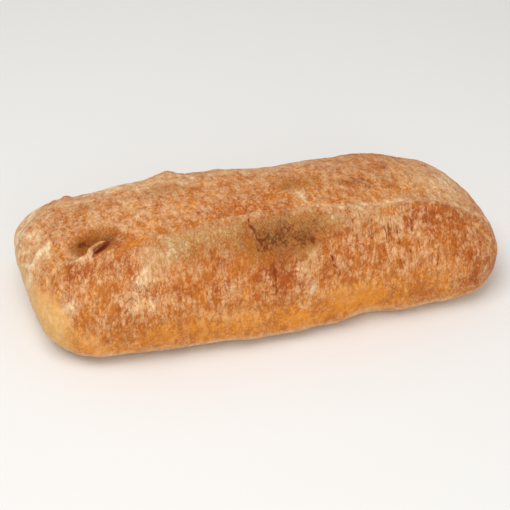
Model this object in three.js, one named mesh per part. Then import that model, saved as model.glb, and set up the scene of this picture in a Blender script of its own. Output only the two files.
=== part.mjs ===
// A ciabatta: one baked piece of bread, a long rounded slab with a fold seam along its top.
// Millimetres. +X runs along the loaf, -Y is the side that the folded flap faces, +Z is up.
// The origin is the middle of the loaf's outline, on the surface that the loaf rests on.
import * as THREE from "three";
import { mergeVertices } from "three/addons/utils/BufferGeometryUtils.js";

// Driving dimensions
const LENGTH = 268;
const WIDTH = 110;
const HEIGHT = 65;
const GIRTH_HEIGHT = 24; // height of the widest line round the loaf
const UNDERCUT = 10; // how far the lower half would dip below the resting face if it were left round

// Mesh density: segments round a section, and from one end to the other
const AROUND = 60;
const ALONG = 64;
const POLE_GAP = 1e-5; // points of the unit sphere nearer than this are one point

// Bluntness of each quarter, as superellipse exponents: 2 is round and 5 is almost square
const PLAN_BLUNTNESS = { left: { front: 5.0, back: 5.0 }, right: { front: 6.5, back: 3.7 } };
const CROWN_BLUNTNESS = { left: 3.0, right: 2.3 };
const BELLY_BLUNTNESS = { left: 5.0, right: 7.0 };
const SECTION_BLUNTNESS = { top: 2.12, bottom: 2.7 };

// Hand-shaped unevenness, as shares of the width or height
const FRONT_SWING = { slope: -0.07, curve: 0.04 };
const BACK_SWING = { slope: 0.06, curve: 0.05 };
const CROWN_SLOPE = -0.03;
const END_SKEW = -0.095; // how far each end leans along X for each millimetre of Y
const BOW = 2.5; // how far the middle bows to the front, and the ends to the back

// Swellings and hollows of the crust: centre, reach along each axis, and rise outwards
const SWELLINGS = {
  backBubble: { at: [-47, 34, 53], reach: [6.5, 12, 14], rise: 3.8 },
  backSwell: { at: [-28, 34, 54], reach: [30, 16, 16], rise: 1.2 },
  backHollow: { at: [14, 38, 52], reach: [16, 18, 18], rise: -0.6 },
  rightHump: { at: [74, 38, 50], reach: [24, 18, 18], rise: 2.4 },
  leftLobe: { at: [-130, 14, 34], reach: [12, 22, 16], rise: 3.2 },
  leftFoot: { at: [-104, -48, 4], reach: [13, 12, 14], rise: 2.6 },
  frontNotch: { at: [55, -52, 6], reach: [12, 14, 18], rise: -4.6 },
  frontSwell: { at: [4, -54, 10], reach: [30, 14, 22], rise: 2.4 },
  rightFoot: { at: [110, -42, 8], reach: [14, 16, 16], rise: 2.2 },
  rightTip: { at: [135, -8, 34], reach: [7, 20, 10], rise: 1.2 },
  leftToe: { at: [-126, -42, 8], reach: [10, 16, 14], rise: -2.8 },
};

// The fold seam, as places on the plan: the front flap lies over the back one and ends in a low step
const SEAM = [[-112, -22], [-76, -26], [-50, -23], [-14, -17], [20, -17], [60, -20], [104, -14], [132, -16]];
const SEAM_STEP = { rise: 2.0, edge: 5, fade: 24, fullTo: 92, goneBy: 116 };

// The collapsed bubble at the left end of the seam
const POCKET = { at: [-92, -16], reach: [13, 6.5], turn: 0.12, depth: 5.5 };

const RELIEF_FADE = 14; // the seam and pocket die away over this height above the widest line

const { clamp, inverseLerp, lerp, smoothstep } = THREE.MathUtils;

/** Share of full size at t, which runs from 0 in the middle of the loaf to 1 at its tip. */
function taper(t, bluntness) {
  return Math.pow(Math.max(0, 1 - Math.pow(Math.abs(t), bluntness)), 1 / bluntness);
}

/** Keeps a value's sign and raises its size to a power. */
function signedPower(value, power) {
  return Math.sign(value) * Math.pow(Math.abs(value), power);
}

/** Sends a point of the unit sphere, whose poles are on X, to the plain loaf without its relief. */
function loafPoint(unit) {
  const t = unit.x;
  const end = t < 0 ? "left" : "right";
  const side = unit.y < 0 ? "front" : "back";
  const ring = Math.max(Math.hypot(unit.y, unit.z), Number.EPSILON);
  const swing = side === "front" ? FRONT_SWING : BACK_SWING;

  const uneven = 1 + swing.slope * t + swing.curve * t * t;
  const reach = (WIDTH / 2) * taper(t, PLAN_BLUNTNESS[end][side]) * uneven;
  const crown = (HEIGHT - GIRTH_HEIGHT) * taper(t, CROWN_BLUNTNESS[end]) * (1 + CROWN_SLOPE * t);
  const belly = (GIRTH_HEIGHT + UNDERCUT) * taper(t, BELLY_BLUNTNESS[end]);

  const half = unit.z < 0 ? "bottom" : "top";
  const power = 2 / SECTION_BLUNTNESS[half];
  const y = reach * signedPower(unit.y / ring, power);
  const z = GIRTH_HEIGHT + (half === "top" ? crown : belly) * signedPower(unit.z / ring, power);
  return new THREE.Vector3((LENGTH / 2) * t + END_SKEW * y * t * t, y - BOW * (1 - 2 * t * t), z);
}

/** A bell-shaped patch: 1 where every share of its reach is 0, and about a third where one of them is 1. */
function bell(...shares) {
  return Math.exp(-shares.reduce((sum, share) => sum + share * share, 0));
}

/** Where the seam crosses the loaf, x along it. */
function seamY(x) {
  const next = Math.max(1, SEAM.findIndex(([seamX]) => seamX > x));
  const [[startX, startY], [endX, endY]] = [SEAM[next - 1], SEAM[next]];
  return lerp(startY, endY, clamp(inverseLerp(startX, endX, x), 0, 1));
}

/** How far the crust stands out of the plain loaf at a point. */
function relief(point) {
  let out = 0;
  for (const { at, reach, rise } of Object.values(SWELLINGS)) {
    out += rise * bell(...point.toArray().map((value, axis) => (value - at[axis]) / reach[axis]));
  }

  const onTop = smoothstep(point.z, GIRTH_HEIGHT, GIRTH_HEIGHT + RELIEF_FADE);
  const dx = point.x - POCKET.at[0];
  const dy = point.y - POCKET.at[1];
  const along = dx * Math.cos(POCKET.turn) + dy * Math.sin(POCKET.turn);
  const across = dy * Math.cos(POCKET.turn) - dx * Math.sin(POCKET.turn);
  out -= POCKET.depth * bell(along / POCKET.reach[0], across / POCKET.reach[1]) * onTop;

  const { rise, edge, fade, fullTo, goneBy } = SEAM_STEP;
  const forward = seamY(point.x) - point.y;
  const lip = smoothstep(forward, -edge / 2, edge / 2) * (1 - smoothstep(forward, 0, fade));
  return out + rise * lip * (1 - smoothstep(Math.abs(point.x), fullTo, goneBy)) * onTop;
}

/** Sends every vertex of a geometry through a function from its old place to its new one. */
function reshape(geometry, move) {
  const positions = geometry.getAttribute("position");
  const point = new THREE.Vector3();
  for (let i = 0; i < positions.count; i++) {
    positions.setXYZ(i, ...move(point.fromBufferAttribute(positions, i), i));
  }
  return geometry;
}

/** The loaf as one closed mesh with a flat resting face at z = 0, centred over the origin. */
function loafGeometry() {
  const sphere = new THREE.SphereGeometry(1, AROUND, ALONG).rotateZ(Math.PI / 2);
  sphere.deleteAttribute("uv");
  sphere.deleteAttribute("normal");
  const loaf = reshape(mergeVertices(sphere, POLE_GAP), loafPoint);

  loaf.computeVertexNormals();
  const normals = loaf.getAttribute("normal");
  reshape(loaf, (point, i) => {
    const outward = new THREE.Vector3(normals.getX(i), normals.getY(i), Math.max(0, normals.getZ(i)));
    const moved = outward.multiplyScalar(relief(point)).add(point);
    return moved.setZ(Math.max(0, moved.z));
  });

  loaf.computeBoundingBox();
  const middle = loaf.boundingBox.getCenter(new THREE.Vector3());
  return loaf.translate(-middle.x, -middle.y, 0);
}

/** Baked crust: matt and pale orange-brown. */
function crustMaterial() {
  return new THREE.MeshStandardMaterial({ color: 0xcf8a4e, roughness: 0.85, metalness: 0 });
}

const ciabatta = new THREE.Group();
const loaf = new THREE.Mesh(loafGeometry(), crustMaterial());
loaf.name = "ciabatta_loaf";
ciabatta.add(loaf);

export default ciabatta;
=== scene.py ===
"""A ciabatta: one baked loaf with a floury crust, in a plain pale studio.

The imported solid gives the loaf's place, size and broad shape. This script copies it, works the folds,
cracks, blisters and collapsed bubble of a real crust into the copy, and colours it with one procedural
material.

Places on the crust are given on a crust map: `along` is millimetres along the loaf, sheared a little so
that its lines run the way the dough stretched, and `turn` is degrees round the loaf, from 0 straight up
to 90 at the front. Other places are (x, y, z) in millimetres.
"""

import math

import bpy
import numpy as np
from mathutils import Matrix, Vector, noise


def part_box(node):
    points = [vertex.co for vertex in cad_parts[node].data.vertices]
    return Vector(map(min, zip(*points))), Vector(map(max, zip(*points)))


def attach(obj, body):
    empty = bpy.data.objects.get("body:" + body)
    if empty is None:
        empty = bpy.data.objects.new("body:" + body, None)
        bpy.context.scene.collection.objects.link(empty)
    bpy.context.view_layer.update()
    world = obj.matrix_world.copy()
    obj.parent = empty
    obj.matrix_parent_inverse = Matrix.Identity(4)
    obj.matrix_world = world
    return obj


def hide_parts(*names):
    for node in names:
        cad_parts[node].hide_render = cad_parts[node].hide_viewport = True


MM = 0.001

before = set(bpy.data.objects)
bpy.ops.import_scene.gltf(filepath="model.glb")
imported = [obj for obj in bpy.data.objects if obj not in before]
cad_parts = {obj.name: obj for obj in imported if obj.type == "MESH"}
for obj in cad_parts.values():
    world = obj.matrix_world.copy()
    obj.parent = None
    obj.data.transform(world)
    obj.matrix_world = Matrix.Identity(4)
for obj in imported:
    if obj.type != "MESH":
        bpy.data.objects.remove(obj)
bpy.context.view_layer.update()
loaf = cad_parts["ciabatta_loaf"]
lowest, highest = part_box("ciabatta_loaf")
middle = (lowest + highest) / 2
size = highest - lowest

# ---------------------------------------------------------------- the crust map
AXIS_HEIGHT = 20.0  # height of the line that turns are measured round
SHEAR = 0.22  # how far the stretch lines lean along the loaf for each millimetre across it
BACK_LEAN = -0.25  # the same, for the streaks on the back fold
MAP_SCALE = 0.87  # millimetres of crust for each degree of turn


def crust_map(points):
    """The (along, turn) of points in millimetres."""
    along = points[:, 0] - SHEAR * points[:, 1]
    turn = np.degrees(np.arctan2(-points[:, 1], points[:, 2] - AXIS_HEIGHT))
    return np.stack([along, turn], axis=1)


def smooth(low, high, values):
    """0 below low, 1 above high, and a smooth rise between. It falls instead where low is above high."""
    share = np.clip((values - low) / (high - low), 0, 1)
    return share * share * (3 - 2 * share)


def bell(*shares):
    """A bell-shaped patch: 1 where every share of its reach is 0, about a third where one of them is 1."""
    return np.exp(-sum(share * share for share in shares))


def rough(points, grain, seed=0, stretch=(1, 1, 1)):
    """Smooth noise from about -1 to 1, its features about `grain` millimetres, longer where stretched."""
    shifted = points / (grain * np.array(stretch, float)) + seed * 17.3
    return np.array([noise.noise(place) for place in shifted.tolist()])


def patches(places, spots):
    """The sum of bell-shaped spots on the map, each (along, turn, reach along, reach of turn, amount)."""
    total = np.zeros(len(places))
    for along, turn, reach_along, reach_turn, amount in spots:
        total += amount * bell((places[:, 0] - along) / reach_along, (places[:, 1] - turn) / reach_turn)
    return total


def course(points, stops):
    """Each point's distance from a line through the stops, and how far along that line it is, 0 to 1."""
    stops = np.array(stops, float)
    lengths = np.linalg.norm(np.diff(stops, axis=0), axis=1)
    nearest = np.full(len(points), np.inf)
    share = np.zeros(len(points))
    for start, end, length, before in zip(stops, stops[1:], lengths, np.cumsum(lengths) - lengths):
        step = (end - start) / length
        reached = np.clip((points - start) @ step, 0, length)
        distance = np.linalg.norm(points - start - reached[:, None] * step, axis=1)
        closer = distance < nearest
        nearest[closer] = distance[closer]
        share[closer] = (before + reached[closer]) / lengths.sum()
    return nearest, share


def line(points, stops, half_width, ends=0.2):
    """A soft line through the stops: 1 along its middle, fading over its half width and at both ends.

    The points and stops are both places on the crust map, or both places in millimetres.
    """
    scale = (1, MAP_SCALE) if points.shape[1] == 2 else 1
    distance, share = course(points * scale, np.array(stops, float) * scale)
    return bell(distance / half_width) * smooth(0, ends, share + 1e-3) * smooth(0, ends, 1 - share + 1e-3)


# ---------------------------------------------------------------- the shape of the crust
# The edge of the folded flap, as stops on the crust map
SEAM = [
    (-112, 34), (-100, 33), (-84, 31), (-70, 33), (-59, 29), (-32, 26), (-12, 21), (3, 20), (30, 22),
    (49, 25), (65, 26), (82, 25), (107, 24), (121, 29), (133, 41), (140, 60),
]

# Unevenness of the plain loaf: centre and reach in millimetres, and rise outwards
LUMPS = [
    ((-126, 14, 46), (11, 12, 9), 1.0),  # end lobe of the back fold
    ((-133, -5, 34), (5, 6, 6), -1.6),  # hollow under that lobe
    ((-129, 31, 44), (9, 12, 10), -3.2),  # slope of the left end's back corner
    ((-124, -38, 18), (8, 10, 14), 1.8),  # swelling of its front corner
    ((-36, 36, 58), (12, 7, 7), -0.9),  # waves of the back's top line
    ((-76, 35, 56), (10, 8, 8), 0.9),
    ((74, 36, 54), (8, 8, 8), -1.4),
    ((108, 32, 46), (14, 9, 9), 1.7),
    ((-20, -20, 66), (20, 9, 8), -0.7),  # top of the flap, lowered a little
    ((-104, 40, 48), (2.6, 4, 4), 1.8),  # nubs on the outline
    ((-111, 37, 49), (2.6, 4, 4), 1.0),
    ((-97, 36, 51), (3, 5, 4), -0.8),
    ((-78, -45, 44), (16, 12, 14), 1.0),  # swelling under the collapsed bubble
    ((6, -36, 56), (22, 8, 8), -1.0),  # sunken scorched band
    ((32, -48, 44), (6, 8, 10), -0.9),  # dents in the front
    ((24, -55, 12), (8, 8, 10), -1.0),
    ((68, -36, 50), (14, 10, 12), 0.8),  # swellings at the right of the flap
    ((104, -30, 48), (12, 12, 12), 0.8),
]

# Folds of the left end: (stops in millimetres, half width, rise)
FOLDS = [
    # edge of the end lobe, from the loaf's end up to its top
    (
        [(-137, 7, 33), (-131, -6, 40), (-128, -12, 44), (-124, -7, 47), (-119, -6, 52), (-115, 0, 53)],
        1.7,
        1.2,
    ),
    ([(-128, -12, 44), (-130, -13, 35), (-131, -9, 26)], 1.8, 1.0),  # fold that runs down from it
    ([(-134, 5, 41), (-129, 0, 46), (-123, 1, 50)], 3.0, -1.0),  # hollow behind it
]

# Cracks and creases: (stops on the crust map, half width, depth, how dark)
CREASES = [
    # the long crack from the seam, and its branch
    ([(-8, 19), (-5.5, 25), (-4, 30), (-1.5, 34), (-0.5, 38), (2, 43), (4, 49)], 0.55, 1.2, 1.75),
    ([(0, 40), (3.5, 42), (7, 41)], 0.6, 0.8, 1.0),
    # the upright split under it, and the crease that leads on to the foot
    ([(9, 52), (9.6, 58), (9.9, 62), (11, 68), (11, 78)], 1.0, 1.1, 1.65),
    ([(12, 78), (16, 81), (21, 84), (25, 89), (27, 93)], 1.2, 1.1, 0.6),
    # the small flap beside it
    ([(40, 53), (42.5, 60), (45.5, 70)], 0.65, 0.6, 1.05),
    ([(45.5, 70), (47, 66), (48.3, 61)], 0.6, 0.5, 0.9),
    # the splits at the right
    ([(51, 27), (53, 33), (55, 40)], 0.8, 0.9, 1.25),
    ([(65, 30), (65, 44), (65, 58)], 0.8, 0.9, 1.15),
    ([(73, 34), (75.5, 46), (74.5, 60)], 0.85, 1.0, 1.3),
    ([(79, 40), (80, 50), (82.5, 60)], 0.8, 0.9, 1.3),
    ([(86, 33), (88.5, 43), (89, 54)], 0.85, 1.0, 1.25),
    ([(80, 60), (82.5, 70)], 0.8, 0.9, 1.2),
    ([(87, 58), (88, 68)], 0.8, 0.9, 1.2),
    # short cracks round the scorched band
    ([(-19.3, 48), (-18.6, 56)], 0.6, 0.7, 1.0),
    ([(-10, 51), (-9.3, 59)], 0.6, 0.7, 1.0),
    ([(32, 30), (31.9, 37)], 0.6, 0.8, 1.1),
    ([(13.4, 34), (15, 42)], 0.6, 0.7, 1.1),
    ([(30, 45), (33, 49)], 1.0, 0.5, 1.2),
    # soft creases beside the collapsed bubble and at the right end
    ([(-108, 36), (-113, 44), (-117, 54)], 1.2, 0.8, 0.1),
    ([(-75, 33), (-66, 33), (-58, 30)], 0.9, 0.8, 0.5),
    ([(-74, -15), (-66, -18), (-57, -14)], 1.0, 0.8, 0.4),
    ([(120, 40), (127, 48), (133, 60)], 0.9, 0.6, 0.2),
    # shallow creases on the back
    ([(-62, -62), (-40, -67), (-14, -61)], 1.4, 1.2, 0.4),
    ([(26, -78), (52, -83), (74, -77)], 1.6, 1.2, 0.4),
    ([(84, -58), (90, -68), (88, -80)], 1.0, 0.9, 0.5),
]

# Raised folds of skin: (stops on the crust map, half width, rise)
RIDGES = [
    ([(-106, 38), (-95, 37), (-84, 33), (-76, 34)], 2.2, 0.9),  # front lip of the collapsed bubble
    ([(23, 4), (29, 20)], 1.2, 0.4),  # short fold above the seam
    ([(-14, 92), (0, 88), (20, 92)], 3.0, 0.6),  # bulge at the foot
]

# The collapsed bubble: a hollow under the skin of the back fold, and slits along its front lip
HOLLOW = {"at": (-96, -14.5), "reach": (9, 5.5), "turn": 0.25, "depth": 5.2}
SLITS = [
    # (stops on the crust map, half width, depth)
    ([(-92, 35.5), (-87, 31.5), (-83.5, 31), (-80, 28)], 1.7, 5.5),
    ([(-105, 32), (-99, 30.5), (-94, 30)], 1.4, 2.5),
]

# The strand of dough across it: (x, y, radius) in millimetres
STRAND = [
    (-103, -24, 0.7), (-97.5, -25.5, 1.9), (-96.4, -23, 1.9), (-96, -19, 1.6), (-94, -15.5, 1.3),
    (-90.5, -13.8, 1.0), (-86, -14, 0.5),
]
STRAND_CLEARANCE = 0.6  # how far the strand's middle lies above the plain loaf
STRAND_REACH = 2.2  # what is nearer than this to the strand's middle belongs to the strand
STRAND_CORE = 1.4  # what is nearer than this looks like the strand and nothing else

# The lip along the seam, and the groove behind it
LIP_RISE = 1.1
GROOVE_DEPTH = 0.9

STRETCH_MARKS = [
    # (how many, along from and to, turn from and to, depth from and to)
    (150, (-80, 132), (28, 78), (0.25, 0.9)),
    (60, (-120, 120), (-95, -35), (0.2, 0.6)),
    (40, (-120, 130), (-35, 18), (0.1, 0.35)),
]
BLISTERS = 70  # how many

# The sides of the mesh's squares in millimetres, and how many times they are relaxed
BROAD_MESH = (1.2, 12)
FINE_MESH = (0.75, 3)

# (along, turn, reach along, reach of turn, amount): where the crust splits into upright streaks
SPLIT_SPOTS = [
    (76, 48, 16, 16, 0.5), (62, 40, 10, 10, 0.2), (6, 56, 16, 8, 0.2), (-60, 56, 14, 14, 0.35),
]


def below_seam(places):
    """Millimetres of crust below the fold seam, towards the front."""
    seam_turn = np.interp(places[:, 0], *np.array(SEAM, float).T)
    return (places[:, 1] - seam_turn) * MAP_SCALE


def vectors(items, name):
    """The named vector of every vertex, normal or face in a list, one on each row."""
    values = np.empty(len(items) * 3, np.float32)
    items.foreach_get(name, values)
    return values.reshape(-1, 3).astype(float)


def vertex_places(mesh):
    """The vertices' places in millimetres."""
    return vectors(mesh.vertices, "co") / MM


def apply_modifiers(piece):
    """Replaces a piece's mesh by the shape that its modifiers give."""
    graph = bpy.context.evaluated_depsgraph_get()
    shaped = bpy.data.meshes.new_from_object(piece.evaluated_get(graph))
    piece.modifiers.clear()
    plain = piece.data
    piece.data = shaped
    bpy.data.meshes.remove(plain)


def remesh(piece, side, rounds):
    """Gives a piece an even mesh of small squares."""
    squares = piece.modifiers.new("squares", "REMESH")
    squares.mode = "VOXEL"
    squares.voxel_size = side * MM
    relax = piece.modifiers.new("relax", "SMOOTH")
    relax.factor = 0.5
    relax.iterations = rounds
    apply_modifiers(piece)


def push_out(piece, rise):
    """Moves every vertex along its normal, and keeps the resting face flat."""
    mesh = piece.data
    moved = vertex_places(mesh) + vectors(mesh.vertex_normals, "vector") * rise[:, None]
    moved[:, 2] = np.maximum(moved[:, 2], 0)
    mesh.vertices.foreach_set("co", (moved * MM).astype(np.float32).ravel())
    mesh.update()


def calm(points):
    """1 on the low part of the left end, where the crust is smooth."""
    return smooth(-108, -120, points[:, 0]) * smooth(44, 32, points[:, 2])


def seam_step(points, places):
    """The raised lip of the folded flap and the groove behind it, as a rise along the normal."""
    below = below_seam(places) + 1.3 * rough(points, 9, 3)
    open_seam = smooth(-90, -70, places[:, 0]) * smooth(140, 100, places[:, 0])
    lip = smooth(-0.8, 1.0, below) * smooth(22, 2, below)
    return open_seam * (LIP_RISE * lip - GROOVE_DEPTH * bell((below + 1.2) / 1.1))


def collapsed_bubble(points, places):
    """The depth of the hollow and of the slits along its front lip."""
    across = points[:, :2] - HOLLOW["at"]
    cosine, sine = math.cos(HOLLOW["turn"]), math.sin(HOLLOW["turn"])
    lengthwise = (across[:, 0] * cosine + across[:, 1] * sine) / HOLLOW["reach"][0]
    crosswise = (across[:, 1] * cosine - across[:, 0] * sine) / HOLLOW["reach"][1]
    depth = HOLLOW["depth"] * bell(lengthwise, crosswise)
    for stops, half_width, deep in SLITS:
        depth += deep * line(places, stops, half_width, 0.15)
    on_top = smooth(35, 45, points[:, 2])
    return depth * on_top


def broad_shape(points):
    """Folds, lumps and the collapsed bubble, as a rise along the normal. None reaches the resting face."""
    places = crust_map(points)
    rise = 1.3 * rough(points, 34, 1) + 0.9 * rough(points, 14, 2, (1, 1.4, 1.4))
    for centre, reach, amount in LUMPS:
        rise += amount * bell(*((points - centre) / reach).T)
    rise += seam_step(points, places) - collapsed_bubble(points, places)
    for stops, half_width, height in FOLDS:
        rise += height * line(points, stops, half_width)
    for stops, half_width, height in RIDGES:
        rise += height * line(places, stops, half_width)
    return rise * smooth(0.5, 5, points[:, 2])


def wavy_map(points):
    """The crust map with the small wander that cracks follow."""
    wander_along = 0.7 * rough(points, 5, 4) + 0.8 * rough(points, 2.2, 17)
    wander_round = 1.2 * rough(points, 7, 5)
    return crust_map(points) + np.stack([wander_along, wander_round], axis=1)


def stretch_marks(chance):
    """Short random lines the way the dough stretched: (stops, length, half width, depth) for each."""
    for count, along, turn, depths in STRETCH_MARKS:
        for _ in range(count):
            start = np.array([chance.uniform(*along), chance.uniform(*turn)])
            length = chance.uniform(5, 16)
            lean = chance.normal(0, 0.8, 2)
            deep = chance.uniform(*depths)
            half_width = chance.uniform(0.45, 0.8)
            stops = [start, start + (lean[0], length / 2), start + (lean[1], length)]
            yield stops, length, half_width, deep


def cracks(points):
    """How deep the creases and stretch marks are, and how dark."""
    wavy = wavy_map(points)
    depth = np.zeros(len(points))
    dark = np.zeros(len(points))
    for stops, half_width, deep, darkness in CREASES:
        shape = line(wavy, stops, half_width, 0.3)
        depth += deep * shape
        dark += darkness * shape
    for stops, length, half_width, deep in stretch_marks(np.random.default_rng(11)):
        near = np.abs(wavy - stops[1]).max(axis=1) < length
        shape = deep * line(wavy[near], stops, half_width, 0.4)
        depth[near] += shape
        dark[near] += 0.9 * shape
    fade = smooth(0.2, 2.5, points[:, 2]) * (1 - 0.9 * calm(points))
    return depth * fade, dark * fade * (0.75 + 0.5 * rough(points, 2.0, 15))


def small_bumps(points):
    """The grain and blisters of the crust, as a rise along the normal."""
    chance = np.random.default_rng(12)
    wavy = wavy_map(points)
    streaked = 0.2 * smooth(-2, 6, below_seam(wavy)) + 0.4 * patches(wavy, SPLIT_SPOTS)
    rise = 0.36 * rough(points, 6.5, 6) + 0.12 * rough(points, 2.4, 7)
    rise += streaked * rough(points, 2.6, 12, (1, 4, 4))
    for _ in range(BLISTERS):
        centre = np.array([chance.uniform(-128, 128), chance.uniform(-90, 80)])
        radius = chance.uniform(1.2, 3.6)
        height = chance.uniform(0.12, 0.25) * radius
        away = (wavy - centre) * (1, MAP_SCALE)
        rise += height * bell(*(away / radius).T)
    return rise * smooth(0.2, 2.5, points[:, 2])


def strand_path():
    """The strand's stops as (x, y, z) in millimetres, just above the plain loaf."""
    stops = []
    for x, y, _ in STRAND:
        _, place, normal, _ = loaf.ray_cast(Vector((x * MM, y * MM, 1)), Vector((0, 0, -1)))
        stops.append((place + normal * STRAND_CLEARANCE * MM) / MM)
    return stops


def dough_strand():
    """The thin bridge of dough across the collapsed bubble, as a tapering tube."""
    curve = bpy.data.curves.new("strand", "CURVE")
    curve.dimensions = "3D"
    curve.bevel_depth = MM
    curve.bevel_resolution = 3
    curve.use_fill_caps = True
    spline = curve.splines.new("NURBS")
    spline.points.add(len(STRAND) - 1)
    spline.use_endpoint_u = True
    spline.order_u = 3
    for point, place, (_, _, radius) in zip(spline.points, strand_path(), STRAND):
        point.co = (*(place * MM), 1)
        point.radius = radius
    strand = bpy.data.objects.new("strand", curve)
    bpy.context.scene.collection.objects.link(strand)
    mesh = bpy.data.meshes.new_from_object(strand.evaluated_get(bpy.context.evaluated_depsgraph_get()))
    bpy.data.objects.remove(strand)
    return mesh


def join_mesh(piece, extra):
    """Adds another mesh's faces to a piece."""
    helper = bpy.data.objects.new("extra", extra)
    bpy.context.scene.collection.objects.link(helper)
    with bpy.context.temp_override(active_object=piece, selected_editable_objects=[piece, helper]):
        bpy.ops.object.join()


SHEET = 410.0  # the side of the square that the bake map fills, in millimetres
RESTING = 1.2  # faces lower than this belong to the resting face
END_CAPS = 125.0  # faces further along the loaf than this belong to its ends


def face_corners(mesh):
    """For every corner of every face: its vertex's number, and the middle of its face in millimetres."""
    vertices = np.empty(len(mesh.loops), np.int32)
    mesh.loops.foreach_get("vertex_index", vertices)
    sides = np.empty(len(mesh.polygons), np.int32)
    mesh.polygons.foreach_get("loop_total", sides)
    return vertices, np.repeat(vectors(mesh.polygons, "center") / MM, sides, axis=0)


def bake_map(mesh):
    """The UV map for baking: the crust unrolled, with the ends, strand and resting face beside it."""
    vertices, centres = face_corners(mesh)
    points = vertex_places(mesh)
    unrolled = (crust_map(points)[:, 1] * MAP_SCALE)[vertices]
    x, y, z = points[vertices].T
    # (which corners, across, up, where the chart's zero lies on the sheet in millimetres); a later chart
    # takes its corners from the first, which is the whole crust
    charts = [
        (np.ones(len(vertices), bool), x, unrolled, (140, 112)),
        (centres[:, 0] < -END_CAPS, y, z, (340, 3)),
        (centres[:, 0] > END_CAPS, y, z, (340, 75)),
        (course(centres, strand_path())[0] < STRAND_REACH, x, y, (400, 180)),
        (centres[:, 2] < RESTING, x, y, (140, 285)),
    ]
    places = np.zeros((len(vertices), 2))
    for where, across, up, zero in charts:
        places[where] = (np.stack([across, up], axis=1) + zero)[where]
    layer = mesh.uv_layers.new(name="OFBake")
    layer.data.foreach_set("uv", (places / SHEET).astype(np.float32).ravel())


def crust_piece():
    """The loaf with its folds, cracks and blisters."""
    piece = bpy.data.objects.new("ciabatta_crust", loaf.data.copy())
    bpy.context.scene.collection.objects.link(piece)
    piece.data.materials.clear()
    remesh(piece, *BROAD_MESH)
    push_out(piece, broad_shape(vertex_places(piece.data)))
    join_mesh(piece, dough_strand())
    remesh(piece, *FINE_MESH)
    points = vertex_places(piece.data)
    depth, dark = cracks(points)
    looks(piece, points, dark)
    push_out(piece, small_bumps(points) - depth)
    bake_map(piece.data)
    piece.data.shade_smooth()
    return piece


# ---------------------------------------------------------------- what each part of the crust looks like
# The lists of spots below are all (along, turn, reach along, reach of turn, amount).

# More flour, and less
FLOUR_SPOTS = [
    (-62, 58, 6, 15, 0.6), (-52, 66, 6, 9, 0.35), (-55, 44, 12, 8, 0.2), (-76, 46, 4, 7, 0.2),
    (-104, 68, 5, 6, 0.85), (-99, 63, 3, 4, 0.5), (27, 63, 4, 9, 0.45), (30.5, 74, 2.5, 5, 0.9),
    (31, 54, 3, 4, 0.4), (5, 67, 6, 5, 0.2), (79, 42, 7, 9, 0.45), (60, 38, 14, 10, 0.25),
    (74, 60, 3, 8, 0.25), (45, 34, 12, 8, 0.2), (-129, 45, 6, 22, 0.8), (-120, 70, 7, 30, 0.1),
    (-118, 16, 5, 12, 0.3), (26, 14, 4, 8, 0.3), (-65, 56, 3, 12, 0.3), (-85, -42, 30, 10, 0.8),
    (-48, -30, 20, 9, 0.4), (0, -38, 40, 9, 0.35), (-128, -5, 8, 22, 0.5), (106, -25, 18, 30, 0.5),
    (112, 10, 8, 12, 0.3), (-68, -14, 8, 10, 0.3), (-70, 8, 8, 12, 0.15), (-30, -78, 20, 14, 0.35),
    (44, -72, 26, 10, 0.3), (-100, -80, 14, 10, 0.3), (-44, 38, 10, 9, 0.65), (-24, 34, 12, 8, 0.5),
    (14, 38, 16, 9, 0.15), (118, -5, 10, 20, 0.3), (116, 84, 2.5, 6, 0.35), (88, 52, 3, 6, 0.2),
    (-20, 66, 8, 7, 0.15),
]
FLOUR_LACK = [
    (98, 36, 14, 8, 0.4), (116, 48, 12, 12, 0.3), (128, 78, 10, 16, 0.15), (60, 8, 30, 10, 0.1),
    (15, 65, 8, 9, 0.4), (-5, 56, 10, 5, 0.3), (68, 90, 18, 10, 0.4), (100, 88, 16, 8, 0.35),
    (25, 92, 30, 8, 0.35), (-45, 90, 24, 8, 0.35), (-84, 56, 9, 6, 0.3), (-90, 44, 12, 5, 0.15),
    (-84, 24, 8, 8, 0.3), (-97, 16, 9, 8, 0.3), (41, 61, 4, 7, 0.3), (-5, 10, 22, 14, 0.15),
    (0, -98, 24, 12, 0.3), (76, -58, 20, 10, 0.3), (-62, -62, 16, 10, 0.25), (104, -84, 14, 12, 0.25),
    (-30, 62, 26, 14, 0.15), (30, 58, 50, 18, 0.05), (-37, -14, 4, 9, 0.3), (75, -27, 6, 8, 0.3),
    (-70, 32, 12, 5, 0.3), (70, 68, 4, 9, 0.25),
]
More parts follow.
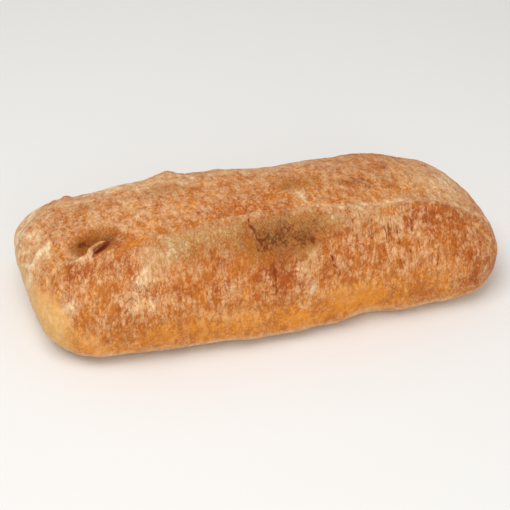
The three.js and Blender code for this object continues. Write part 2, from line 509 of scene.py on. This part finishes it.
# Golden crust, and red-brown crust
GOLD_SPOTS = [
    (66, 86, 18, 13, 1.1), (104, 82, 16, 12, 0.9), (25, 90, 32, 10, 0.9), (-50, 86, 20, 11, 0.9),
    (-15, 86, 22, 11, 0.8), (-115, 76, 8, 28, 1.2), (-96, 84, 14, 14, 0.6), (-90, 92, 20, 8, 0.5),
    (74, 30, 4, 6, 0.7), (-66, 31, 8, 5, 0.5), (45, 78, 12, 8, 0.6), (-84, 56, 9, 6, 0.4),
    (-62, 24, 10, 8, 0.3), (100, 2, 20, 16, 0.4), (-44, 4, 8, 6, 0.3), (-40, -100, 30, 10, 0.8),
    (60, -98, 34, 10, 0.8),
]
RED_SPOTS = [
    (8, 59, 14, 4, 0.8), (14, 66, 7, 9, 0.6), (-28, 62, 18, 10, 0.25), (98, 37, 13, 7, 0.8),
    (114, 48, 12, 11, 0.5), (130, 74, 10, 18, 0.4), (122, 92, 8, 7, 0.4), (-90, 43, 12, 4, 0.4),
    (-84, 17, 5, 6, 0.8), (-78, 28, 5, 8, 0.6), (-99, 46, 10, 4, 0.6), (76, -27, 5, 9, 0.6),
    (45, -20, 4, 6, 0.4), (58, 0, 12, 5, 0.8), (-37, -16, 3, 7, 0.7), (-112, -10, 8, 14, 0.3),
    (-72, 6, 10, 7, 0.4), (42, 60, 4, 6, 0.3), (-10, 10, 20, 10, 0.2), (22, -62, 16, 8, 0.5),
    (-74, -68, 14, 10, 0.4), (100, -66, 12, 12, 0.4), (88, 44, 2, 8, 0.5), (70, 64, 4, 7, 0.4),
    (-64, -20, 8, 4, 0.4), (88, 66, 6, 8, 0.2),
]
# Scorched on any part of the crust, and scorched on the folded flap alone. The spots round the collapsed
# bubble, from (-97, 18) to (-91, 18), are partly scorch and partly painted shade in its hollow.
SCORCH_AND_HOLLOW_SHADE_SPOTS = [
    (24, -5, 14, 9, 0.45), (16, -1, 2.5, 2.5, 0.5), (-52, -20, 14, 9, 0.3), (-97, 18, 6, 5, 0.9),
    (-101, 25, 4, 5, 0.3), (-82, 17, 4, 6, 0.9), (-92, 10, 8, 4, 0.5), (-91, 18, 6, 5, 0.5),
    (26, 56, 2, 1.6, 0.6), (58, 0, 10, 4, 0.25), (50, -3, 8, 5, 0.25),
]
FLAP_SCORCH = [
    (12, 41, 18, 12, 1.0), (2, 44, 7, 5, 0.3), (25, 46, 9, 5, 0.3), (31, 42, 7, 7, 0.3),
    (15, 52, 12, 5, 0.3), (30, 45, 2.5, 3.5, 0.5), (3, 46, 3, 3.5, 0.6), (-5, 33, 12, 10, 0.3),
    (24, 32, 14, 9, 0.2), (-36, 38, 24, 12, 0.45), (38, 36, 14, 9, 0.25), (62, 36, 18, 12, 0.2),
]
# Painted shade inside the slits, in dark red-brown
SLIT_SHADE_SPOTS = [
    (-90, 29, 3.5, 4, 1.0), (-86.5, 25, 3.5, 4.5, 1.1), (-83, 21, 3, 3.5, 0.5), (-99, 27, 6, 4, 0.4),
]

# Pale lines of flour or thin skin: (stops, half width, amount)
PALE_LINES = [
    (FOLDS[0][0], 2.0, 0.9),  # folds of the left end
    (FOLDS[1][0], 2.2, 0.8),
    # the back edge of the left end
    (
        [(-137, 10, 34), (-137, 17, 37), (-135, 21, 41), (-132, 28, 43), (-128, 36, 43), (-116, 41, 46)],
        6.0,
        1.6,
    ),
    ([(-106, 35), (-96, 35.5), (-89, 38)], 2.2, 0.45),  # front lip of the collapsed bubble
    # the seam
    ([(28, 21), (49, 24), (65, 25), (88, 24), (107, 23), (121, 28), (133, 40), (139, 58)], 2.6, 0.5),
    ([(23, 4), (29, 20)], 1.4, 0.6),  # short fold above the seam
    ([(-108, 35), (-113, 43), (-117, 53)], 1.2, 0.4),  # crease in front of the collapsed bubble
    ([(-136, -10), (-134, -28), (-122, -40)], 3.0, 0.5),  # the left end's back
]


def flour_lines(points):
    """Extra flour along the pale lines, broken here and there."""
    wavy = wavy_map(points)
    total = np.zeros(len(points))
    for stops, half_width, amount in PALE_LINES:
        on_map = len(stops[0]) == 2
        total += amount * line(wavy if on_map else points, stops, half_width, 0.15)
    return total * (1 + 0.7 * rough(points, 4, 18))


def flour_amount(points, warped, flap, height, gold):
    """How thick the flour lies: 0.5 on most of the crust, more on the upper flap and near the floor, where
    the pale band is partly real flour and partly painted light bounced up from the floor.
    """
    places = crust_map(points)
    along, below = places[:, 0], below_seam(places)
    upper_flap = flap * smooth(16, 9, below) * smooth(-75, -60, along) * smooth(95, 80, along)
    behind_seam = (1 - flap) * smooth(-9, -2, below) * smooth(-100, -70, along) * smooth(30, 0, along)
    amount = 0.5 + 0.2 * upper_flap - 0.25 * behind_seam
    amount += patches(warped, FLOUR_SPOTS) - patches(warped, FLOUR_LACK)
    # the pale band near the floor: partly flour, partly painted light bounced up from the floor
    amount += 0.75 * smooth(13, 5, height) - 0.12 * np.clip(gold, 0, 1)
    amount += 0.12 * rough(points, 16, 10) + 0.16 * rough(points, 8, 16)
    return amount + flour_lines(points)


def looks(piece, points, cracked):
    """Writes how floury, golden, red, scorched and cracked the crust is, and where painted shade goes in
    the slits and in the collapsed bubble's hollow, for the material.
    """
    places = crust_map(points)
    along, turn = places.T
    warped = places + np.stack([3 * rough(points, 12, 8), 3 * rough(points, 10, 9)], axis=1)
    below = below_seam(places)
    flap = smooth(-0.8, 0.8, below + 0.8 * rough(points, 4, 14))
    height = points[:, 2] + 3 * rough(points, 16, 19) + rough(points, 5, 20)
    strand = smooth(STRAND_REACH, STRAND_CORE, course(points, strand_path())[0])
    pale = calm(points)

    gold = patches(warped, GOLD_SPOTS) + 0.8 * pale + 0.7 * smooth(22, 9, height)
    # the scorch spots in the collapsed bubble's hollow are partly painted shade
    scorch_and_hollow_shade = (patches(warped, SCORCH_AND_HOLLOW_SHADE_SPOTS) + flap * patches(warped, FLAP_SCORCH)) * (1 - strand)
    streaks = 0.8 * smooth(-2, 6, below) + 0.6 * smooth(-30, -60, turn) + patches(places, SPLIT_SPOTS)
    tables = {
        "flour": flour_amount(points, warped, flap, height, gold) + 0.55 * strand,
        "gold": gold,
        "pale": pale,
        "red": patches(warped, RED_SPOTS) + 0.2 * flap * smooth(-100, -80, along),
        "scorch_and_hollow_shade": scorch_and_hollow_shade,
        "cracked": cracked,
        "streaks": streaks * (1 - pale) * (1 - 0.8 * smooth(0.05, 0.5, scorch_and_hollow_shade)),
        # painted shade inside the slits
        "slit_shade": patches(places, SLIT_SHADE_SPOTS) * (1 - strand),
    }
    for name, values in tables.items():
        layer = piece.data.attributes.new(name, "FLOAT", "POINT")
        layer.data.foreach_set("value", np.clip(values, 0, 1.5).astype(np.float32))


# ---------------------------------------------------------------- the crust's material
class Nodes:
    """Adds nodes to a material's tree, so that a formula reads as one call for each step."""

    def __init__(self, tree):
        self.tree = tree

    def add(self, kind, values=None, **settings):
        """A new node. Its inputs take the values, which are sockets to link, numbers or colours."""
        node = self.tree.nodes.new(kind)
        for name, value in settings.items():
            setattr(node, name, value)
        for name, value in (values or {}).items():
            if isinstance(value, bpy.types.NodeSocket):
                self.tree.links.new(value, node.inputs[name])
            else:
                node.inputs[name].default_value = value
        return node

    def math(self, operation, first, second=0.0, clamp=False):
        """The result of one step of arithmetic on numbers."""
        node = self.add("ShaderNodeMath", {0: first, 1: second}, operation=operation, use_clamp=clamp)
        return node.outputs[0]

    def vector(self, operation, values, output=0):
        """The result of one step of arithmetic on vectors."""
        return self.add("ShaderNodeVectorMath", values, operation=operation).outputs[output]

    def attribute(self, name):
        """A measure that looks() wrote on the mesh."""
        return self.add("ShaderNodeAttribute", attribute_name=name).outputs["Fac"]

    def stretched(self, place, grain, lean=SHEAR):
        """The place in grains, which are so many millimetres along the loaf, across it and up."""
        sheared = self.vector("DOT_PRODUCT", {0: place, 1: (1, -lean, 0)}, "Value")
        _, across, up = self.add("ShaderNodeSeparateXYZ", {0: place}).outputs
        parts = [self.math("DIVIDE", part, width * MM) for part, width in zip((sheared, across, up), grain)]
        return self.add("ShaderNodeCombineXYZ", dict(enumerate(parts))).outputs[0]

    def noise(self, place, grain, detail=3.0, roughness=0.55, lean=SHEAR):
        """Noise from 0 to 1, about 0.5 on average."""
        where = self.stretched(place, grain, lean)
        values = {"Vector": where, "Scale": 1.0, "Detail": detail, "Roughness": roughness}
        return self.add("ShaderNodeTexNoise", values).outputs["Fac"]

    def edges(self, place, grain):
        """How far inside its cell a place is, 0 on the cell's edge."""
        values = {"Vector": self.stretched(place, grain), "Scale": 1.0}
        return self.add("ShaderNodeTexVoronoi", values, feature="DISTANCE_TO_EDGE").outputs["Distance"]

    def cells(self, place, grain):
        """A random number from 0 to 1 for each small plate of crust."""
        values = {"Vector": self.stretched(place, grain), "Scale": 1.0}
        colour = self.add("ShaderNodeTexVoronoi", values, feature="F1").outputs["Color"]
        return self.add("ShaderNodeSeparateColor", {"Color": colour}).outputs[0]

    def ramp(self, value, low, high, bottom=0.0, top=1.0, kind="SMOOTHSTEP"):
        """The bottom where the value is at its low, the top at its high, and a smooth change between."""
        values = {"Value": value, "From Min": low, "From Max": high, "To Min": bottom, "To Max": top}
        return self.add("ShaderNodeMapRange", values, interpolation_type=kind).outputs["Result"]

    def swing(self, total, value, reach, amount):
        """The total, moved by up to the amount either way as a noise swings round 0.5 by its reach."""
        return self.math("ADD", total, self.ramp(value, 0.5 - reach, 0.5 + reach, -amount, amount))

    def plus(self, total, value, weight):
        """The total plus a weighted value."""
        return self.math("ADD", total, self.math("MULTIPLY", value, weight))

    def blend(self, share, first, second):
        """A number between two numbers."""
        values = {"Factor": share, "A": first, "B": second}
        return self.add("ShaderNodeMix", values, data_type="FLOAT").outputs["Result"]

    def mix(self, share, first, second, blend="MIX"):
        """A colour between two colours."""
        node = self.add("ShaderNodeMix", {"Factor": share}, data_type="RGBA", blend_type=blend)
        for name, colour in (("A", first), ("B", second)):
            socket = [s for s in node.inputs if s.name == name and s.type == "RGBA"][0]
            if isinstance(colour, bpy.types.NodeSocket):
                self.tree.links.new(colour, socket)
            else:
                socket.default_value = colour
        return [s for s in node.outputs if s.type == "RGBA"][0]


def colour(code):
    """A hexadecimal screen colour as the linear colour that a node takes."""
    parts = [int(code[i : i + 2], 16) / 255 for i in (1, 3, 5)]
    linear = [part / 12.92 if part <= 0.04045 else ((part + 0.055) / 1.055) ** 2.4 for part in parts]
    return (*linear, 1.0)


GOLDEN = colour("#d8882c")
PALE_GOLD = colour("#e2b263")
ORANGE = colour("#bd6f29")
RED_BROWN = colour("#a3501a")
DARK_LINE = colour("#84390c")
DEEP_CRACK = colour("#77380f")
# scorched crust, and the painted shade in the collapsed bubble's hollow
SCORCHED_AND_HOLLOW_SHADE = colour("#602b06")
# painted shade for the inside of the slits
SLIT_SHADE_COLOUR = colour("#701803")
FLOUR = colour("#dcb78b")
THICK_FLOUR = colour("#e8d3ad")
TOASTED_FLOUR = colour("#c6a067")

# Grains are millimetres along the loaf, across it and up.
WAVER_GRAIN = 5.0
WAVER = 3.2  # how far that noise shifts the streaks and plates, in millimetres
PLATE = (2.3, 6, 6)  # plates of flour
CRACKED_PLATE = (4.2, 17, 17)  # the longer plates between dark cracks
CRACKLE = (2.6, 3.6, 3.6)  # the crazing of scorched flour
CRACKED_AREA = (9, 14, 14)  # areas with many dark cracks
BACK_FOLD = (2.4, 3.4, 3.4)  # small folds on the back, and on the flap
FLAP_FOLD = (2.2, 5, 5)
STREAK = (2.6, 7, 7)  # streaks of flour on the flap

# Noises that keep their place: (grain, detail, roughness, lean)
NOISES = {
    "grain": ((1.3, 1.7, 1.7), 3.0, 0.7, SHEAR),
    "mottle": ((3.4, 4.6, 4.6), 3.0, 0.6, SHEAR),
    "cloud": ((3.2, 8, 8), 5.0, 0.6, BACK_LEAN),
    "medium": ((6, 9, 9), 2.0, 0.5, BACK_LEAN),
    "large": ((16, 20, 20), 3.0, 0.5, SHEAR),
}
# How each noise makes the bake, the flour and the scorching uneven: (name, reach, amount)
BAKE_SWINGS = [
    ("cloud", 0.25, 0.2),
    ("medium", 0.2, -0.08),
    ("mottle", 0.2, -0.12),
    ("grain", 0.25, -0.18),
]
FLOUR_SWINGS = [
    ("pattern", 0.25, 0.46),
    ("medium", 0.2, 0.13),
    ("mottle", 0.2, 0.15),
    ("grain", 0.25, 0.2),
]
SCORCH_SWINGS = [
    ("mottle", 0.2, 0.6),
    ("grain", 0.25, 0.7),
    ("medium", 0.2, 0.3),
]


def shifted_place(nodes, place):
    """The place with a small random shift, so that streaks and plates aren't straight."""
    values = {"Vector": place, "Scale": 1 / (WAVER_GRAIN * MM), "Detail": 3.0}
    bend = nodes.add("ShaderNodeTexNoise", values)
    centred = nodes.vector("SUBTRACT", {0: bend.outputs["Color"], 1: (0.5, 0.5, 0.5)})
    shift = nodes.vector("SCALE", {0: centred, "Scale": WAVER * MM})
    return nodes.vector("ADD", {0: place, 1: shift})


def patterns(nodes, place, wavy, streaks):
    """Every noise by name. The pattern is in streaked plates on the flap, and in clouds elsewhere."""
    found = {name: nodes.noise(place, *settings) for name, settings in NOISES.items()}
    streaky = nodes.math("MULTIPLY", nodes.noise(wavy, STREAK, 4.0, 0.55), 0.84)
    plates = nodes.plus(streaky, nodes.cells(wavy, PLATE), 0.16)
    found["pattern"] = nodes.blend(streaks, found["cloud"], plates)
    return found


def uneven(nodes, total, noises, swings):
    """The total, moved both ways by several noises."""
    for name, reach, amount in swings:
        total = nodes.swing(total, noises[name], reach, amount)
    return total


def crack_lines(nodes, place, wavy, streaks):
    """1 in a crack: between long plates, along small folds, and where the mesh itself has a crease."""
    where = nodes.noise(place, CRACKED_AREA, 2.0, 0.5)
    where = nodes.math("ADD", where, nodes.ramp(streaks, 1.0, 1.5, 0.0, 0.3))
    where = nodes.math("MULTIPLY", streaks, nodes.ramp(where, 0.48, 0.68))
    between_plates = nodes.ramp(nodes.edges(wavy, CRACKED_PLATE), 0.15, 0.0, 0.0, 0.8)
    between_plates = nodes.math("MULTIPLY", between_plates, where)
    back_folds = nodes.noise(place, BACK_FOLD, 3.0, 0.6, BACK_LEAN)
    flap_folds = nodes.noise(wavy, FLAP_FOLD, 3.0, 0.6)
    folds = nodes.math("SUBTRACT", nodes.blend(streaks, back_folds, flap_folds), 0.5)
    folds = nodes.ramp(nodes.math("ABSOLUTE", folds), 0.0, 0.08, 0.45, 0.0)
    crack = nodes.math("MAXIMUM", between_plates, folds)
    crack = nodes.math("MULTIPLY", crack, nodes.ramp(nodes.attribute("gold"), 0.2, 1.0, 1.0, 0.35))
    return nodes.math("MAXIMUM", crack, nodes.ramp(nodes.attribute("cracked"), 0.25, 1.2), clamp=True)


def baked_crust(nodes, noises):
    """The crust's own colour, from golden through orange to red-brown, and pale where it is smooth."""
    bake = nodes.plus(nodes.ramp(noises["large"], 0.3, 0.7, 0.3, 0.6), nodes.attribute("red"), 0.5)
    bake = nodes.plus(bake, nodes.attribute("gold"), -0.5)
    bake = uneven(nodes, bake, noises, BAKE_SWINGS)
    skin = nodes.mix(nodes.ramp(bake, -0.1, 0.4), GOLDEN, ORANGE)
    skin = nodes.mix(nodes.ramp(bake, 0.4, 1.0), skin, RED_BROWN)
    return nodes.mix(nodes.math("MULTIPLY", nodes.attribute("pale"), 0.7), skin, PALE_GOLD)


def flour_cover(nodes, wavy, streaks, noises, crack, crackle):
    """How thick the flour lies at each place: uneven, and gone from cracks, gaps and crazing."""
    gap = nodes.math("MULTIPLY", streaks, nodes.ramp(noises["large"], 0.35, 0.6, 0.3, 1.0))
    gap = nodes.math("MULTIPLY", nodes.ramp(nodes.edges(wavy, PLATE), 0.09, 0.0), gap, clamp=True)
    crazed = nodes.math("MULTIPLY", crackle, nodes.ramp(nodes.attribute("scorch_and_hollow_shade"), 0.05, 0.4, 0.0, 0.35))
    cover = uneven(nodes, 0.0, noises, FLOUR_SWINGS)
    cover = nodes.math("MULTIPLY", cover, nodes.ramp(nodes.attribute("gold"), 0.1, 1.2, 1.0, 0.5))
    cover = nodes.math("ADD", nodes.attribute("flour"), cover)
    cover = nodes.plus(cover, crack, -0.6)
    cover = nodes.plus(cover, gap, -0.65)
    return nodes.math("SUBTRACT", cover, crazed)


def floured(nodes, skin, cover, floury):
    """The skin under flour, which is paler where it is thick and browner where it is scorched."""
    flour = nodes.mix(nodes.ramp(nodes.attribute("scorch_and_hollow_shade"), 0.05, 0.5), FLOUR, TOASTED_FLOUR)
    flour = nodes.mix(nodes.ramp(cover, 0.95, 1.8, 0.0, 0.8), flour, THICK_FLOUR)
    return nodes.mix(floury, skin, flour)


def scorched(nodes, skin, noises, crack, crackle):
    """The skin with its scorched places, which are finely cracked and lie over the flour too. The same mask
    lays painted shade in the collapsed bubble's hollow.
    """
    burn = uneven(nodes, 1.0, noises, SCORCH_SWINGS)
    burn = nodes.plus(burn, crack, 0.8)
    burn = nodes.plus(burn, crackle, 0.35)
    burn = nodes.math("MULTIPLY", nodes.attribute("scorch_and_hollow_shade"), burn)
    return nodes.mix(nodes.ramp(burn, 0.0, 2.2, 0.0, 0.95, "LINEAR"), skin, SCORCHED_AND_HOLLOW_SHADE)


def deepened(nodes, skin, noises):
    """The skin with its deep cracks, its finest mottle (partly random tone of the bake and partly painted
    shade of the smallest bumps), and painted shade inside the slits.
    """
    skin = nodes.mix(nodes.ramp(nodes.attribute("cracked"), 0.5, 1.3, 0.0, 0.9), skin, DEEP_CRACK)
    # finest mottle: partly random tone, partly painted shade of bumps too small for the mesh
    bump_shade_and_tone = nodes.ramp(nodes.math("ADD", noises["grain"], noises["mottle"]), 0.65, 1.35, 0.88, 1.14)
    skin = nodes.mix(1.0, skin, bump_shade_and_tone, "MULTIPLY")
    # painted shade inside the slits, in dark red-brown
    return nodes.mix(nodes.ramp(nodes.attribute("slit_shade"), 0.1, 0.9, 0.0, 0.9), skin, SLIT_SHADE_COLOUR)


def relief(nodes, noises, crack, floury):
    """The finest relief, too small for the mesh: flour and grain stand up, and cracks lie lower."""
    height = nodes.math("MULTIPLY", floury, 0.35)
    height = nodes.plus(height, noises["grain"], 0.35)
    height = nodes.plus(height, noises["pattern"], 0.3)
    height = nodes.plus(height, crack, -0.35)
    bump = nodes.add("ShaderNodeBump", {"Height": height, "Distance": 0.6 * MM, "Strength": 0.6})
    return bump.outputs["Normal"]


MATT_CRUST = {
    "Specular IOR Level": 0.15,
    "Sheen Weight": 0.15,
    "Sheen Roughness": 0.4,
    "Sheen Tint": (1, 0.92, 0.8, 1),
}


def crust_material():
    """Baked crust: orange and golden, red-brown where it is baked harder, under streaked, cracked flour."""
    material = bpy.data.materials.new("crust")
    material.use_nodes = True
    nodes = Nodes(material.node_tree)
    place = nodes.add("ShaderNodeTexCoord").outputs["Object"]
    wavy = shifted_place(nodes, place)
    streaks = nodes.attribute("streaks")
    noises = patterns(nodes, place, wavy, streaks)
    crack = crack_lines(nodes, place, wavy, streaks)
    crackle = nodes.ramp(nodes.edges(wavy, CRACKLE), 0.12, 0.0)
    cover = flour_cover(nodes, wavy, streaks, noises, crack, crackle)
    floury = nodes.ramp(cover, 0.0, 1.4, 0.0, 0.95, "LINEAR")

    skin = nodes.mix(nodes.math("MULTIPLY", crack, 0.6), baked_crust(nodes, noises), DARK_LINE)
    skin = floured(nodes, skin, cover, floury)
    skin = scorched(nodes, skin, noises, crack, crackle)
    skin = deepened(nodes, skin, noises)
    matt = nodes.ramp(floury, 0.0, 0.8, 0.62, 0.92)
    matt = nodes.math("ADD", matt, nodes.ramp(noises["grain"], 0.2, 0.8, -0.06, 0.06))

    shader = material.node_tree.nodes["Principled BSDF"]
    for name, value in MATT_CRUST.items():
        shader.inputs[name].default_value = value
    results = {"Base Color": skin, "Roughness": matt, "Normal": relief(nodes, noises, crack, floury)}
    for name, result in results.items():
        material.node_tree.links.new(result, shader.inputs[name])
    return material


# ---------------------------------------------------------------- studio
# Lengths here are in loaf lengths, and places are seen from the loaf's middle.
LENGTH = size.x
FLOOR_REACH = 40
FLOOR_GAP = 0.05  # millimetres between the loaf and the floor under it
FLOOR_PAINT = (0.8, 0.79, 0.77, 1)
SURROUND = (1.0, 0.99, 0.97, 1)
SURROUND_STRENGTH = 0.56
LIGHTS = [
    # (name, place, width, power in watts)
    ("key", (-0.9, -0.7, 3.4), 2.2, 6.0),
    ("fill", (0.6, -3.3, 1.2), 2.4, 2.32),
]
CAMERA_AIM = (-0.004, 0, -0.0473)
CAMERA_DISTANCE = 2.56
CAMERA_AZIMUTH = -12.45  # degrees
CAMERA_ELEVATION = 40.0  # degrees
CAMERA_LENS = 85  # millimetres, on a sensor 36 mm wide
SENSOR_WIDTH = 36


def floor():
    """A plain pale floor."""
    reach = FLOOR_REACH * LENGTH
    mesh = bpy.data.meshes.new("floor")
    corners = [(-reach, -reach, 0), (reach, -reach, 0), (reach, reach, 0), (-reach, reach, 0)]
    mesh.from_pydata(corners, [], [(0, 1, 2, 3)])
    plane = bpy.data.objects.new("floor", mesh)
    plane.location.z = lowest.z - FLOOR_GAP * MM
    bpy.context.scene.collection.objects.link(plane)
    paint = bpy.data.materials.new("floor")
    paint.use_nodes = True
    shader = paint.node_tree.nodes["Principled BSDF"]
    shader.inputs["Base Color"].default_value = FLOOR_PAINT
    shader.inputs["Roughness"].default_value = 0.9
    mesh.materials.append(paint)


def area_light(name, place, width, power):
    """A soft square light that faces the loaf."""
    data = bpy.data.lights.new(name, "AREA")
    data.shape = "SQUARE"
    data.size = width * LENGTH
    data.energy = power
    light = bpy.data.objects.new(name, data)
    light.location = middle + Vector(place) * LENGTH
    light.rotation_euler = (middle - light.location).to_track_quat("-Z", "Y").to_euler()
    bpy.context.scene.collection.objects.link(light)


def lighting():
    """An even pale surround, and the soft lights."""
    world = bpy.data.worlds.new("studio")
    world.use_nodes = True
    background = world.node_tree.nodes["Background"]
    background.inputs["Color"].default_value = SURROUND
    background.inputs["Strength"].default_value = SURROUND_STRENGTH
    bpy.context.scene.world = world
    for light in LIGHTS:
        area_light(*light)


def camera():
    """The camera, aimed at the loaf from the front and above."""
    azimuth, elevation = math.radians(CAMERA_AZIMUTH), math.radians(CAMERA_ELEVATION)
    back = Vector((
        math.sin(azimuth) * math.cos(elevation),
        -math.cos(azimuth) * math.cos(elevation),
        math.sin(elevation),
    ))
    data = bpy.data.cameras.new("camera")
    data.lens = CAMERA_LENS
    data.sensor_width = SENSOR_WIDTH
    view = bpy.data.objects.new("camera", data)
    view.location = middle + (Vector(CAMERA_AIM) + back * CAMERA_DISTANCE) * LENGTH
    view.rotation_euler = back.to_track_quat("Z", "Y").to_euler()
    bpy.context.scene.collection.objects.link(view)
    bpy.context.scene.camera = view


piece = crust_piece()
piece.data.materials.append(crust_material())
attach(piece, "root")
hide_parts("ciabatta_loaf")
floor()
lighting()
camera()
bpy.context.scene.view_settings.view_transform = "Standard"
